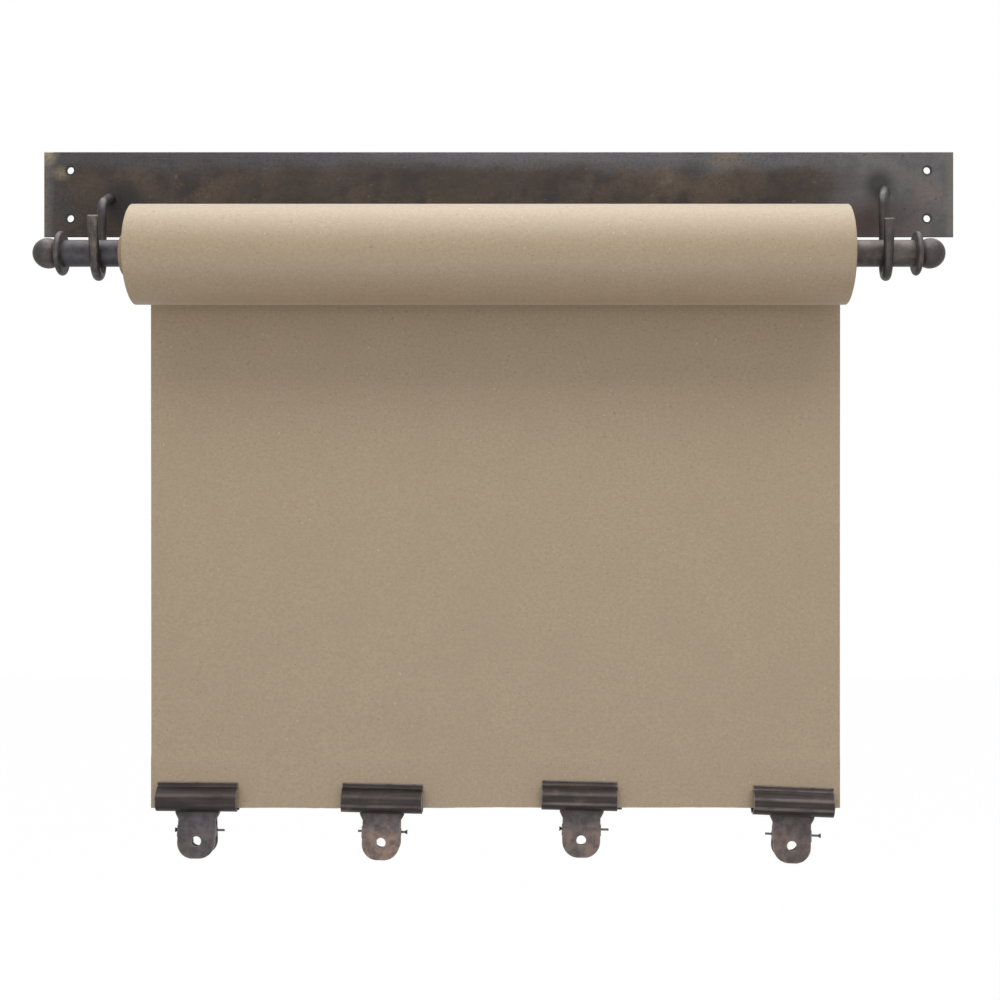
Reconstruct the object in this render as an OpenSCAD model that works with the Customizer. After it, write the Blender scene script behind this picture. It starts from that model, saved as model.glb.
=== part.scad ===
// Hanging note roll holder: a roll of kraft paper on a rod, held by two forged hooks
// on a wall plate, with four bulldog clips that weigh down the sheet's lower edge.
// The origin is the centre of the plate's back face, the front faces -Y and +Z is up.

/* [Paper] */
// Width of the paper
paper_w = 610; // [450:1:760]
// Outer diameter of the paper roll
roll_d = 86; // [60:1:92]
// How far the roll's turns wander past the paper's width
roll_wander = 5; // [0:0.5:10]
// How far the roll lies to the right of the plate's centre
roll_shift = -5; // [-15:0.5:15]
// Free length of the sheet below the roll's axis
sheet_len = 484; // [300:1:900]
// Thickness of the sheet
sheet_t = 0.3; // [0.15:0.05:0.6]
// How far round the roll the sheet is still seen lying on it
sheet_wrap = 35; // [10:1:80]
// Gap between the sheet and the roll it leaves
sheet_gap = 0.1; // [0.05:0.05:0.5]
// How far the sheet lies to the right of the roll's middle
sheet_shift = 2.6; // [-6:0.1:6]

/* [Core tube] */
// How much wider the core's bore is than the rod
core_play = 2.4; // [1:0.1:6]
// Wall of the cardboard core
core_wall = 4.8; // [2:0.1:8]
// How far the core has slipped out of the roll to the right
core_slip = -10.5; // [-14:0.5:14]
// Gap between the core and the innermost turn
core_gap = 0.05; // [0.02:0.01:0.1]
// Gap between the rod's top and the core that hangs on it
core_seat_gap = 0.1; // [0.05:0.05:0.3]

/* [Wall plate] */
// How far the plate runs past each hook
plate_over = 68.7; // [40:0.1:120]
// Height of the plate
plate_h = 76; // [60:1:110]
// Thickness of the plate
plate_t = 3; // [2:0.5:6]
// Filed edge round the plate's front
plate_edge = 0.6; // [0.2:0.1:1.5]
// Diameter of the screw holes
screw_d = 6.4; // [4:0.1:8]
// Distance of the screw holes from the plate's ends
screw_inset_x = 23.5; // [12:0.5:35]
// Distance of the screw holes from the plate's top and bottom
screw_inset_z = 16.5; // [10:0.5:24]

/* [Hooks] */
// Distance between the hooks beyond the paper's width
hook_play = 65.6; // [50:0.1:100]
// How far the pair of hooks lies to the right of the plate's centre
hook_shift = -4; // [-10:0.5:10]
// Diameter of the hook's bar
hook_d = 8.6; // [7:0.1:11]
// Height of each hook's root above the plate's centre
hook_root_z = [-4.5, 2.5]; // [-10:0.5:12]
// Inward lean of both hooks towards their tips
hook_lean = 5; // [0:0.5:8]
// Further lean of each hook's shank between the plate and its back leg
shank_lean = [0, 9.5]; // [-4:0.5:12]
// Diameter of the tenon that is peened behind the plate
tenon_d = 6; // [4:0.1:7]
// Clearance round the tenon
tenon_gap = 0.05; // [0.02:0.01:0.1]
// Straight length where the hook leaves the plate
hook_root_run = 5; // [2:0.5:10]
// Slope of the hook's shank
hook_slope = 18; // [5:1:35]
// Bend radius between root and shank
hook_root_bend = 14; // [8:0.5:20]
// Bend radius between shank and back leg
hook_top_bend = 12; // [8:0.5:16]
// How much tighter the hook's throat is than the rod, so that the rod wedges
hook_wedge = 0.5; // [0.2:0.1:1.5]
// Gap between the seated rod and the hook's legs
hook_seat_gap = 0.2; // [0.1:0.05:0.4]
// Slope of the hook's front leg
hook_flare = 15; // [8:1:25]
// Length of each hook's front leg
blade_l = [38, 35.5]; // [25:0.5:50]
// Width of the hammered tip
blade_w = 9.4; // [9:0.1:14]
// Thickness of the hammered tip
blade_t = 4.2; // [3:0.1:6]
// Worn edge round the tip's end
blade_edge = 0.7; // [0.2:0.1:1.5]

/* [Rod] */
// Distance of the rod's axis from the wall
rod_reach = 60; // [56:0.5:75]
// Depth of the rod's axis below the plate's centre
rod_drop = 61; // [50:0.5:80]
// Diameter of the rod
rod_d = 23; // [18:0.5:28]
// Wall of the rod
rod_wall = 2; // [1:0.1:3]
// How far the rod runs past each hook
rod_over = 26.2; // [20:0.1:50]
// How far the rod lies to the right of the plate's centre
rod_shift = -6.5; // [-12:0.5:12]

/* [Rod ends] */
// Length of the tapped plugs inside the rod
plug_l = 26; // [20:1:40]
// Clearance of the plugs in the rod
plug_gap = 0.05; // [0.02:0.01:0.1]
// Diameter of the finial's stud
stud_d = 8; // [6:0.1:10]
// How far the stud reaches into the plug
stud_l = 20; // [16:0.5:24]
// Clearance of the stud in the plug
stud_gap = 0.05; // [0.02:0.01:0.1]
// Outer diameter of the collars
collar_d = 38; // [30:0.5:48]
// Thickness of the collars
collar_t = 5; // [3:0.1:8]
// Clearance of the collars on the stud
collar_gap = 0.1; // [0.05:0.05:0.5]
// Diameter of the balls
ball_d = 26; // [20:0.5:34]
// Diameter of the neck between ball and collar
neck_d = 18; // [14:0.5:19]
// Distance of the ball's centre from the collar
ball_out = 9; // [6:0.5:9.5]

/* [Clips] */
// Distance of the clips' centres from the sheet's nearer side edge
clip_inset = [41.4, 204.2, 229.1, 43.2]; // [37:0.1:250]
// How far each clip takes in the sheet's lower edge
clip_bite = [23.4, 22, 24.2, 19.2]; // [12:0.1:25]
// Clockwise tilt of each clip, seen from the front
clip_tilt = [0.5, 1.4, 1.3, 2.4]; // [-3:0.1:3]
// Side on which each pin has its head, 1 for right and -1 for left
pin_head_side = [-1, 1, -1, 1]; // [-1:2:1]
// How far each pin has slipped to the right
pin_slip = [2, 0.9, 2.3, 1.4]; // [-2:0.1:2.4]
// How much longer each pin is than the shortest
pin_extra = [0, 0, 0, 5.4]; // [0:0.1:8]
// How much shorter each front jaw was cut at its right end
jaw_trim = [0, 0, 4.5, 0]; // [0:0.1:8]
// Thickness of the clips' sheet metal
clip_t = 1; // [0.6:0.1:1.2]
// Width of the jaws
jaw_w = 71.5; // [60:0.5:80]
// Height of the jaws' top above the pin
jaw_top = 42.3; // [38:0.1:48]
// Gap between a lip and the sheet
lip_gap = 0.2; // [0.1:0.05:0.3]
// Straight height of the lip
lip_h = 3; // [2:0.1:5]
// Bend radius between the lip and the bulge
lip_bend = 1.5; // [1:0.1:2.5]
// Straight run between the lip's bend and the bulge
lip_run = 1.5; // [1.2:0.1:2]
// Radius of the bulge's midline
bulge_r = 10.3; // [9:0.1:11]
// Sweep of the bulge
bulge_sweep = 150; // [140:1:160]
// Bend radius where the bulge turns into the tab
neck_bend = 2; // [1.5:0.1:2.2]
// Gap between the two tabs at the neck
neck_gap = 1.8; // [1.4:0.1:2.4]
// Width of the tab's shoulders
shoulder_w = 39; // [37:0.5:42]
// Height over which the shoulders draw in
shoulder_h = 5; // [3:0.1:7]
// Width of the tab
tab_w = 33.5; // [30:0.5:36]
// Outward slope of the tab
tab_flare = 10; // [9:0.5:12]
// Depth of the tab's end below the pin
tab_tail = 23.5; // [22:0.1:30]
// Radius of the two corners of the tab's end
tab_corner = 14; // [8:0.5:14.5]
// Depth of the hole's centre below the pin
tab_hole_drop = 8.8; // [8:0.1:11]
// Diameter of the hole in the front tab
tab_hole_d = 8.4; // [5:0.1:9]
// Diameter of the wider hole in the rear tab
rear_hole_d = 12.4; // [8:0.1:13]
// Height of an ear where it folds off the tab
ear_h = 10; // [8:0.1:12]
// Radius of an ear's round end
ear_r = 3; // [2.4:0.1:3]
// How far the front ears stand out past the tab's edge
ear_out = 0.6; // [0.3:0.1:0.8]
// Gap between the nested ears
ear_gap = 0.3; // [0.2:0.05:0.5]

/* [Clip pins] */
// Diameter of the pin
pin_d = 2; // [1.6:0.1:2.4]
// Clearance of the pin in the ears
pin_gap = 0.05; // [0.02:0.01:0.1]
// How far the pin runs past the front ears
pin_over = 4.5; // [2:0.1:8]
// Diameter of the pin's head
pin_head_d = 4; // [3:0.1:5]
// Thickness of the pin's head
pin_head_t = 0.6; // [0.4:0.1:1]
// Length of the cone under the pin's head
pin_head_cone = 1.4; // [0.8:0.1:2]

/* [Clip springs] */
// Diameter of the spring wire
wire_d = 1.2; // [0.8:0.1:1.3]
// Gap between the spring's legs and the tabs
leg_gap = 0.2; // [0.1:0.05:0.4]
// Whole turns of the spring
spring_turns = 5; // [3:1:6]
// Distance from turn to turn
spring_pitch = 1.9; // [1.8:0.05:2.2]
// Length of the spring's legs
leg_l = 13; // [9:0.5:16]

/* [Hidden] */
$fn = 64;
// Rings along each curl of a spring, sides of its wire and points along each leg
curl_rings = 8;
wire_sides = 6;
leg_points = 4;
// Sides of the paper roll and of the sheet that lies on it
roll_sides = 128;
// Largest step round a bend of a hook's bar or a clip's sheet metal
bend_step = 7.5;
// Sides of a hook's bar and steps along its hammered leg
bar_sides = 24;
blade_steps = 8;
// Power of the curve round the bar's section, from a circle to the tip's rounded oblong
bar_round = 2;
tip_round = 3.4;
// Length by which a cut runs past the face it opens, or a tenon into its bar
past = 1;

iron = [0.36, 0.34, 0.34];
dark_iron = [0.28, 0.26, 0.26];
kraft = [0.68, 0.59, 0.49];
card = [0.52, 0.44, 0.36];
spring_steel = [0.45, 0.45, 0.46];

hook_span = paper_w + hook_play;
plate_w = hook_span + 2 * plate_over;
hook_side = [-1, 1];

rod_y = -rod_reach;
rod_z = -rod_drop;
rod_l = hook_span + 2 * rod_over;
plug_r = rod_d / 2 - rod_wall - plug_gap;
stud_r = stud_d / 2 - stud_gap;

// The back leg is upright, so the throat's centre lies behind and below the seated rod.
throat_r = rod_d / 2 + hook_seat_gap - hook_wedge;
hook_turn_r = throat_r + hook_d / 2;
throat_y = rod_y + hook_wedge;
throat_z = rod_z - hook_wedge / tan(hook_flare / 2);
back_leg_y = throat_y + hook_turn_r;
hook_forward = -plate_t - back_leg_y;
shank_l = (hook_forward - hook_root_run - hook_root_bend * sin(hook_slope)
    - hook_top_bend * (1 - sin(hook_slope))) / cos(hook_slope);
shank_drop = hook_root_bend * (1 - cos(hook_slope)) + shank_l * sin(hook_slope)
    + hook_top_bend * cos(hook_slope);

// Place along X of a hook's bar at y, as the hooks lean inwards towards their tips
function hook_x(n, y) = hook_shift + hook_side[n] * (hook_span / 2 + (y - rod_y) * tan(hook_lean)
    + max(0, y - back_leg_y) * tan(shank_lean[n]));

// The core hangs on the rod, so the roll's axis lies a little below the rod's.
core_bore_r = rod_d / 2 + core_play / 2;
core_r = core_bore_r + core_wall;
roll_z = rod_z - core_play / 2 + core_seat_gap;
roll_l = paper_w + roll_wander;
sheet_x = roll_shift + sheet_shift;
sheet_turn_r = roll_d / 2 + sheet_gap + sheet_t / 2;
sheet_y = rod_y + sheet_turn_r;
sheet_low_z = roll_z - sheet_len;

// A clip's own frame has its origin on the pin, in the middle of the sheet's thickness.
clip_side = [-1, -1, 1, 1];
function clip_at(n) = [
    sheet_x + clip_side[n] * (paper_w / 2 - clip_inset[n]),
    sheet_y,
    sheet_low_z + clip_bite[n] - jaw_top
];

// Sizes along one half of a clip, from the lip's top edge down to the tab
half_sweep = bulge_sweep / 2;
lip_y = sheet_t / 2 + lip_gap + clip_t / 2;
neck_y = neck_gap / 2 + clip_t / 2;
neck_run = (lip_y + lip_bend * (1 - cos(half_sweep)) + lip_run * sin(half_sweep)
    + neck_bend * (cos(half_sweep) - cos(tab_flare)) - neck_y) / sin(half_sweep);
neck_z = jaw_top - lip_h - lip_bend * sin(half_sweep) - (lip_run + neck_run) * cos(half_sweep)
    - 2 * bulge_r * sin(half_sweep) - neck_bend * (sin(half_sweep) + sin(tab_flare));
tab_run = (neck_z + tab_tail + past) / cos(tab_flare);
function tab_y(z) = neck_y + (neck_z - z) * tan(tab_flare);

// Stations along a bent piece's midline as [y, z, slope off straight down], one more after
// each move of [length, 0] and several after each move of [bend radius, angle]
function go(from, l) = [from[0] + l * sin(from[2]), from[1] - l * cos(from[2]), from[2]];
function turned(from, r, a) = [
    from[0] + sign(a) * r * (cos(from[2]) - cos(from[2] + a)),
    from[1] + sign(a) * r * (sin(from[2]) - sin(from[2] + a)),
    from[2] + a
];
function stations(from, move) = move[1] == 0
    ? [go(from, move[0])]
    : let (steps = ceil(abs(move[1]) / bend_step))
        [for (k = [1 : steps]) turned(from, move[0], move[1] * k / steps)];
function midline(moves, done, i = 0) = i == len(moves)
    ? done
    : midline(moves, concat(done, stations(done[len(done) - 1], moves[i])), i + 1);
function hook_bar(n) = midline(
    [
        [hook_root_run, 0], [hook_root_bend, hook_slope],
        [shank_l, 0], [hook_top_bend, 90 - hook_slope],
        [hook_root_z[n] - shank_drop - throat_z, 0], [hook_turn_r, hook_flare - 180]
    ],
    [[-plate_t, hook_root_z[n], -90]]
);
jaw_line = midline(
    [[lip_h, 0], [lip_bend, half_sweep], [lip_run, 0], [bulge_r, -bulge_sweep]],
    [[lip_y, jaw_top, 0]]
);
tab_line = midline(
    [[neck_run, 0], [neck_bend, half_sweep + tab_flare], [tab_run, 0]],
    [jaw_line[len(jaw_line) - 1]]
);
front_ear_x = tab_w / 2 + ear_out;
rear_ear_x = front_ear_x - clip_t - ear_gap;
function pin_l(n) = 2 * (front_ear_x + pin_over) + pin_extra[n];

// The spring's legs lie along the tabs, so its radius follows from the tabs' distance.
wire_r = wire_d / 2;
coil_r = tab_y(0) * cos(tab_flare) - clip_t / 2 - leg_gap - wire_r;
coil_sweep = 360 * spring_turns + 180 - 2 * tab_flare;
coil_l = spring_pitch * coil_sweep / 360;
coil_steps = ceil(coil_sweep / 360 * curl_rings);
function coil_angle(k) = tab_flare + coil_sweep * k / coil_steps;
function coil_point(k) = [
    coil_l * (k / coil_steps - 0.5),
    coil_r * cos(coil_angle(k)),
    coil_r * sin(coil_angle(k))
];
function coil_heading(k) = [0, -sin(coil_angle(k)), cos(coil_angle(k))];
function unit(v) = v / norm(v);
coil_lead = [spring_pitch / (2 * PI * coil_r), 0, 0];
leg_steps = [for (k = [1 : leg_points]) leg_l * k / leg_points];
spring_points = concat(
    [for (k = [leg_points - 1 : -1 : 0]) coil_point(0) - leg_steps[k] * coil_heading(0)],
    [for (k = [0 : coil_steps]) coil_point(k)],
    [for (s = leg_steps) coil_point(coil_steps) + s * coil_heading(coil_steps)]
);
spring_headings = concat(
    [for (s = leg_steps) coil_heading(0)],
    [for (k = [0 : coil_steps]) unit(coil_heading(k) + coil_lead)],
    [for (s = leg_steps) coil_heading(coil_steps)]
);
spring_last = len(spring_points) - 1;
spring_self_gap = min([
    for (i = [0 : spring_last])
        for (j = [i + curl_rings / 2 : 1 : spring_last])
            norm(spring_points[i] - spring_points[j])
]) - wire_d;
echo(str("clip spring: least gap to itself ", spring_self_gap, " mm"));

// Cylinder along X from x to x + l
module rod_piece(x, l, r) {
    translate([x, 0, 0]) rotate([0, 90, 0]) cylinder(r = r, h = l);
}

module wall_plate() {
    color(iron) difference() {
        intersection() {
            linear_extrude(plate_h, center = true) filed_section(plate_w);
            rotate([0, 90, 0]) linear_extrude(plate_w, center = true) filed_section(plate_h);
        }
        for (sx = [-1, 1], sz = [-1, 1])
            translate([sx * (plate_w / 2 - screw_inset_x), past, sz * (plate_h / 2 - screw_inset_z)])
                rotate([90, 0, 0]) cylinder(d = screw_d, h = plate_t + 2 * past);
        for (n = [0, 1])
            translate([hook_x(n, -plate_t), past, hook_root_z[n]])
                rotate([90, 0, 0]) cylinder(r = tenon_d / 2 + tenon_gap, h = plate_t + 2 * past);
    }
}

// Section of the plate across one of its lengths, with its two front edges filed off
module filed_section(w) {
    polygon([
        [-w / 2, 0], [-w / 2, plate_edge - plate_t], [plate_edge - w / 2, -plate_t],
        [w / 2 - plate_edge, -plate_t], [w / 2, plate_edge - plate_t], [w / 2, 0]
    ]);
}

// Closed skin over rings of points that all go round their heading the same way
module skin(rings) {
    sides = len(rings[0]);
    last = (len(rings) - 1) * sides;
    walls = [
        for (i = [0 : len(rings) - 2])
            for (j = [0 : sides - 1])
                let (a = i * sides + j, b = i * sides + (j + 1) % sides)
                    each [[a, a + sides, b], [b, a + sides, b + sides]]
    ];
    first_cap = [for (j = [1 : sides - 2]) [0, j, j + 1]];
    last_cap = [for (j = [1 : sides - 2]) [last, last + j + 1, last + j]];
    polyhedron([for (ring = rings) each ring], concat(first_cap, walls, last_cap));
}

// Section of a hook at a station of its bar, w wide and t thick
function bar_ring(at, w, t, power) = [
    for (j = [0 : bar_sides - 1])
        let (
            c = cos(360 * j / bar_sides),
            s = sin(360 * j / bar_sides),
            x = w / 2 * sign(c) * pow(abs(c), 2 / power),
            out = t / 2 * sign(s) * pow(abs(s), 2 / power)
        )
            [x, at[0] - out * cos(at[2]), at[1] - out * sin(at[2])]
];

// Section of the front leg, by the share of its length at which the bar is hammered out
function blade_ring(at, share, worn = 0) =
    let (flat = share * share * (3 - 2 * share))
        bar_ring(
            at,
            hook_d + (blade_w - hook_d) * flat - 2 * worn,
            hook_d + (blade_t - hook_d) * flat - 2 * worn,
            bar_round + (tip_round - bar_round) * flat
        );

// Hook forged from round bar: root, sloping shank, upright back leg, throat and hammered front leg
module hook(n) {
    bar = hook_bar(n);
    turn_end = bar[len(bar) - 1];
    worn_l = blade_l[n] - blade_edge;
    upright = concat(
        [for (at = bar) bar_ring(at, hook_d, hook_d, bar_round)],
        [for (k = [1 : blade_steps])
            blade_ring(go(turn_end, worn_l * k / blade_steps), k / blade_steps)],
        [blade_ring(go(turn_end, blade_l[n]), 1, blade_edge)]
    );
    color(dark_iron) {
        translate([hook_x(n, -plate_t), -tenon_gap, hook_root_z[n]])
            rotate([90, 0, 0]) cylinder(d = tenon_d, h = plate_t - tenon_gap + past);
        skin([for (ring = upright) [for (p = ring) [p[0] + hook_x(n, p[1]), p[1], p[2]]]]);
    }
}

module rod() {
    color(iron) translate([rod_shift, rod_y, rod_z]) difference() {
        rod_piece(-rod_l / 2, rod_l, rod_d / 2);
        rod_piece(-rod_l / 2 - past, rod_l + 2 * past, rod_d / 2 - rod_wall);
    }
}

// Places a piece of the rod's right end, or mirrors it to the left end
module rod_end(side) {
    translate([rod_shift, rod_y, rod_z])
        mirror([side < 0 ? 1 : 0, 0, 0]) translate([rod_l / 2, 0, 0]) children();
}

module rod_plug(side) {
    color(dark_iron) rod_end(side) difference() {
        rod_piece(-plug_l, plug_l, plug_r);
        rod_piece(-plug_l - past, plug_l + 2 * past, stud_d / 2);
    }
}

// Ring with a rounded rim
module collar(side) {
    color(iron) rod_end(side) difference() {
        union() {
            rod_piece(0, collar_t, (collar_d - collar_t) / 2);
            translate([collar_t / 2, 0, 0]) rotate([0, 90, 0])
                rotate_extrude() translate([(collar_d - collar_t) / 2, 0]) circle(d = collar_t);
        }
        rod_piece(-past, collar_t + 2 * past, stud_d / 2 + collar_gap);
    }
}

module finial(side) {
    color(dark_iron) rod_end(side) {
        translate([collar_t, 0, 0]) {
            intersection() {
                translate([ball_out, 0, 0]) sphere(d = ball_d);
                rod_piece((ball_d / 2 - ball_out) / 2, ball_d, ball_d);
            }
            rod_piece(0, ball_out, neck_d / 2);
        }
        rod_piece(-stud_l, stud_l + collar_t + ball_out, stud_r);
    }
}

module core_tube() {
    color(card) translate([roll_shift + core_slip, rod_y, roll_z]) difference() {
        rod_piece(-paper_w / 2, paper_w, core_r);
        rod_piece(-paper_w / 2 - past, paper_w + 2 * past, core_bore_r);
    }
}

module paper_roll() {
    color(kraft) translate([roll_shift, rod_y, roll_z]) difference() {
        rod_piece(-roll_l / 2, roll_l, roll_d / 2, $fn = roll_sides);
        rod_piece(-roll_l / 2 - past, roll_l + 2 * past, core_r + core_gap);
    }
}

// The sheet hangs from the back of the roll, and its top lies on the roll's last turn.
module hanging_sheet() {
    color(kraft) translate([sheet_x, rod_y, roll_z])
        rotate([90, 0, 90]) linear_extrude(paper_w, center = true) {
            translate([sheet_turn_r - sheet_t / 2, -sheet_len]) square([sheet_t, sheet_len]);
            intersection() {
                difference() {
                    circle(r = sheet_turn_r + sheet_t / 2, $fn = roll_sides);
                    circle(r = sheet_turn_r - sheet_t / 2, $fn = roll_sides);
                }
                polygon([[0, 0], [roll_d, 0], [roll_d, roll_d * tan(sheet_wrap)]]);
            }
        }
}

module clip_place(n) {
    translate(clip_at(n)) rotate([0, clip_tilt[n], 0]) children();
}

// Strip of sheet metal along a midline, w wide and cut short by trim at its right end
module strip(line, w, trim = 0) {
    translate([-w / 2, 0, 0]) rotate([90, 0, 90]) linear_extrude(w - trim) polygon(concat(
        [for (p = line) [p[0] + clip_t / 2 * cos(p[2]), p[1] + clip_t / 2 * sin(p[2])]],
        [for (k = [len(line) - 1 : -1 : 0]) let (p = line[k])
            [p[0] - clip_t / 2 * cos(p[2]), p[1] - clip_t / 2 * sin(p[2])]]
    ));
}

// Rear half of a clip, bent from one blank: lip, bulge, neck and tab, with an ear at each side
module clip_half(ear_x, hole_d, trim) {
    difference() {
        union() {
            strip(jaw_line, jaw_w, trim);
            intersection() {
                strip(tab_line, shoulder_w);
                rotate([90, 0, 0]) linear_extrude(jaw_w, center = true) tab_outline(hole_d);
            }
            for (x = [-ear_x, ear_x - clip_t])
                translate([x, 0, 0]) rotate([90, 0, 90]) linear_extrude(clip_t) ear_outline();
        }
        rod_piece(-ear_x - past, 2 * (ear_x + past), pin_d / 2 + pin_gap);
    }
}

// Outline of the tab seen from the front: drawn-in shoulders, a round end and a hole
module tab_outline(hole_d) {
    end_z = tab_corner - tab_tail;
    corner_x = tab_w / 2 - tab_corner;
    draw_in = (shoulder_w - tab_w) / 2 / shoulder_h;
    top_x = tab_w / 2 + (jaw_top - neck_z + shoulder_h) * draw_in;
    difference() {
        union() {
            polygon([
                [-top_x, jaw_top], [-tab_w / 2, neck_z - shoulder_h], [-tab_w / 2, end_z],
                [tab_w / 2, end_z], [tab_w / 2, neck_z - shoulder_h], [top_x, jaw_top]
            ]);
            for (x = [-corner_x, corner_x])
                translate([x, end_z]) circle(r = tab_corner);
            translate([-corner_x, -tab_tail]) square([2 * corner_x, tab_corner]);
        }
        translate([0, -tab_hole_drop]) circle(d = hole_d);
    }
}

// Ear in the plane across the pin, from the tab's midline to a round end about the pin
module ear_outline() {
    circle(r = ear_r);
    polygon([
        [0, ear_r], [tab_y(ear_h / 2), ear_h / 2],
        [tab_y(-ear_h / 2), -ear_h / 2], [0, -ear_r]
    ]);
}

module clip_front_jaw(n) {
    color(dark_iron) clip_place(n) mirror([0, 1, 0]) clip_half(front_ear_x, tab_hole_d, jaw_trim[n]);
}

module clip_rear_jaw(n) {
    color(dark_iron) clip_place(n) clip_half(rear_ear_x, rear_hole_d, 0);
}

// Nail that the clip's halves turn on
module clip_pin(n) {
    color(spring_steel) clip_place(n) translate([pin_slip[n], 0, 0])
        mirror([pin_head_side[n] < 0 ? 1 : 0, 0, 0]) {
            rod_piece(-pin_l(n) / 2, pin_l(n), pin_d / 2);
            translate([pin_l(n) / 2 - pin_head_t, 0, 0]) {
                rod_piece(0, pin_head_t, pin_head_d / 2);
                rotate([0, -90, 0]) cylinder(d1 = pin_head_d, d2 = pin_d, h = pin_head_cone);
            }
        }
}

// Torsion spring round the pin: one wire with a leg along each tab
module clip_spring(n) {
    rings = [
        for (i = [0 : spring_last])
            let (t = spring_headings[i], u = unit([1, 0, 0] - t[0] * t), v = cross(t, u))
                [for (j = [0 : wire_sides - 1])
                    spring_points[i] + wire_r * (cos(360 * j / wire_sides) * u
                        + sin(360 * j / wire_sides) * v)]
    ];
    color(spring_steel) clip_place(n) skin(rings);
}

wall_plate();
hook(0);  // hook_left
hook(1);  // hook_right
rod();
rod_plug(-1);  // rod_plug_left
rod_plug(1);  // rod_plug_right
collar(-1);  // collar_left
collar(1);  // collar_right
finial(-1);  // finial_left
finial(1);  // finial_right
core_tube();
paper_roll();
hanging_sheet();
clip_front_jaw(0);  // clip_1_front_jaw
clip_rear_jaw(0);  // clip_1_rear_jaw
clip_pin(0);  // clip_1_pin
clip_spring(0);  // clip_1_spring
clip_front_jaw(1);  // clip_2_front_jaw
clip_rear_jaw(1);  // clip_2_rear_jaw
clip_pin(1);  // clip_2_pin
clip_spring(1);  // clip_2_spring
clip_front_jaw(2);  // clip_3_front_jaw
clip_rear_jaw(2);  // clip_3_rear_jaw
clip_pin(2);  // clip_3_pin
clip_spring(2);  // clip_3_spring
clip_front_jaw(3);  // clip_4_front_jaw
clip_rear_jaw(3);  // clip_4_rear_jaw
clip_pin(3);  // clip_4_pin
clip_spring(3);  // clip_4_spring
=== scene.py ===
import math
import bpy
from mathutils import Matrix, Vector, noise


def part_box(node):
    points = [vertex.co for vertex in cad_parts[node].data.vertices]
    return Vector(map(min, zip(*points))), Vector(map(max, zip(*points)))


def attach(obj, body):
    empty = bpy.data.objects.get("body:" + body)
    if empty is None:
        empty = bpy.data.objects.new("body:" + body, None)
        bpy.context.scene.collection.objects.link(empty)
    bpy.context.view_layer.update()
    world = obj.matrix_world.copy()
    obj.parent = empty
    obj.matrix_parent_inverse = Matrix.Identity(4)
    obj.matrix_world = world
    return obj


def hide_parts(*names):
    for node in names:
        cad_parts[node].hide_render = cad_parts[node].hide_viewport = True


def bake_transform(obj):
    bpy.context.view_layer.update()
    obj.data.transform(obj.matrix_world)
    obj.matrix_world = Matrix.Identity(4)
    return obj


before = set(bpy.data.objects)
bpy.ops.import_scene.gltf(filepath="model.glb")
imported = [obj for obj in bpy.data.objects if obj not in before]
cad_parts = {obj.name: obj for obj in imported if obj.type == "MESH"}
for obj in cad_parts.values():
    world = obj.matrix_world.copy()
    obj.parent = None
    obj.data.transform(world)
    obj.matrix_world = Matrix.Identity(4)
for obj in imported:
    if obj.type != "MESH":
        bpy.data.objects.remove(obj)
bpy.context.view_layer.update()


# Wall plate: a strip of flat iron, cut to length, drilled for four wood screws and filed along its edges.
# Its oil-rubbed patina is cloudy brown, with a painted blue-grey sheen along the top, painted shade round
# the hooks' roots and screw holes, and rubbed through to a brassy tone at the upper left corner.

class Wire:
    """One output in a node tree; sums, differences, products and quotients add Math nodes."""

    def __init__(self, tree, socket=None):
        self.tree, self.socket = tree, socket

    def node(self, kind, settings=None, sockets=None, out=0):
        made = self.tree.nodes.new("ShaderNode" + kind)
        for name, value in (settings or {}).items():
            setattr(made, name, value)
        for name, value in (sockets or {}).items():
            into = next(s for s in made.inputs if name in (s.identifier, s.name))
            if isinstance(value, Wire):
                self.tree.links.new(value.socket, into)
            else:
                into.default_value = value
        found = [s for i, s in enumerate(made.outputs) if out in (i, s.identifier)]
        return Wire(self.tree, found[0] if found else None)

    def math(self, operation, first, second):
        return self.node("Math", {"operation": operation}, {"Value": first, "Value_001": second})

    def __add__(self, other):
        return self.math("ADD", self, other)

    __radd__ = __add__

    def __sub__(self, other):
        return self.math("SUBTRACT", self, other)

    def __rsub__(self, other):
        return self.math("SUBTRACT", other, self)

    def __mul__(self, other):
        return self.math("MULTIPLY", self, other)

    __rmul__ = __mul__

    def __truediv__(self, other):
        return self.math("DIVIDE", self, other)


def new_finish(name):
    """An empty material, and the wire of its points in metres."""
    made = bpy.data.materials.new(name)
    made.use_nodes = True
    made.node_tree.nodes.clear()
    return made, Wire(made.node_tree).node("TexCoord", out="Object")


def axes(point):
    """The x, y and z of a point."""
    split = point.node("SeparateXYZ", {}, {"Vector": point})
    return [Wire(point.tree, output) for output in split.socket.node.outputs]


def distance(one_way, across):
    """Length of a step that goes one way and across it."""
    return one_way.math("SQRT", one_way * one_way + across * across, 0)


def grain(point, scale, detail=3.0, rough=0.55, stretch=(1, 1, 1)):
    """Noise from 0 to 1, with scale in waves per metre."""
    laid = point.node("Mapping", {}, {"Vector": point, "Scale": stretch})
    return point.node("TexNoise", {}, {"Vector": laid, "Scale": scale, "Detail": detail, "Roughness": rough},
                      "Fac")


def rise(value, low, high):
    """0 below low, 1 above high and smooth between."""
    return value.node("MapRange", {"interpolation_type": "SMOOTHSTEP"},
                      {"Value": value, "From Min": low, "From Max": high})


def tint(share, first, second):
    """First colour where share is 0, second where it is 1."""
    return share.node("Mix", {"data_type": "RGBA"},
                      {"Factor_Float": share, "A_Color": first, "B_Color": second}, "Result_Color")


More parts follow.
